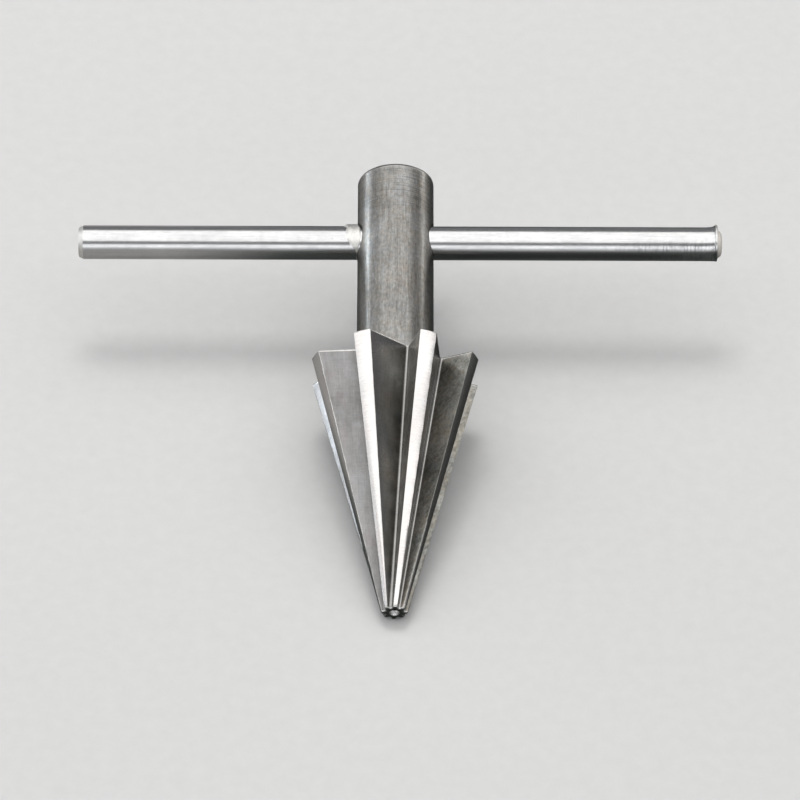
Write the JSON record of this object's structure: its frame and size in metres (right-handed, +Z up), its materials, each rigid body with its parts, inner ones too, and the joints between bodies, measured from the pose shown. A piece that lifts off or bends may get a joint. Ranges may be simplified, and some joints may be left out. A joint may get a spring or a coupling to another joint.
{
  "type": "t-handle conical pipe deburring reamer",
  "caption": "Hand deburring reamer for pipe ends: a fluted steel cone and round shank in one piece, turned by a sliding round T-bar.",
  "frame": {"origin": "middle of the footprint, on the bench plane the tool rests on", "axes": "+X along the T-bar towards its peened free end, +Z up from the bench. The tool lies on two fins, point towards -Y; its axis climbs 14.2 degrees towards the shank's end at +Y"},
  "size_m": [0.152, 0.1158, 0.0402],
  "materials": {
    "machined_steel": "turned and ground satin steel; milled flutes darker than the ground lands",
    "bright_bar": "bright drawn bar with fine lengthwise streaks"
  },
  "bodies": {
    "reamer": {"reamer_body": "machined_steel"},
    "bar": {"t_bar": "bright_bar"}
  },
  "joints": [
    {"name": "bar_slide", "type": "slide", "parent": "reamer", "child": "bar", "axis": [1, 0, 0], "range_m": [-0.0655, 0]}
  ]
}
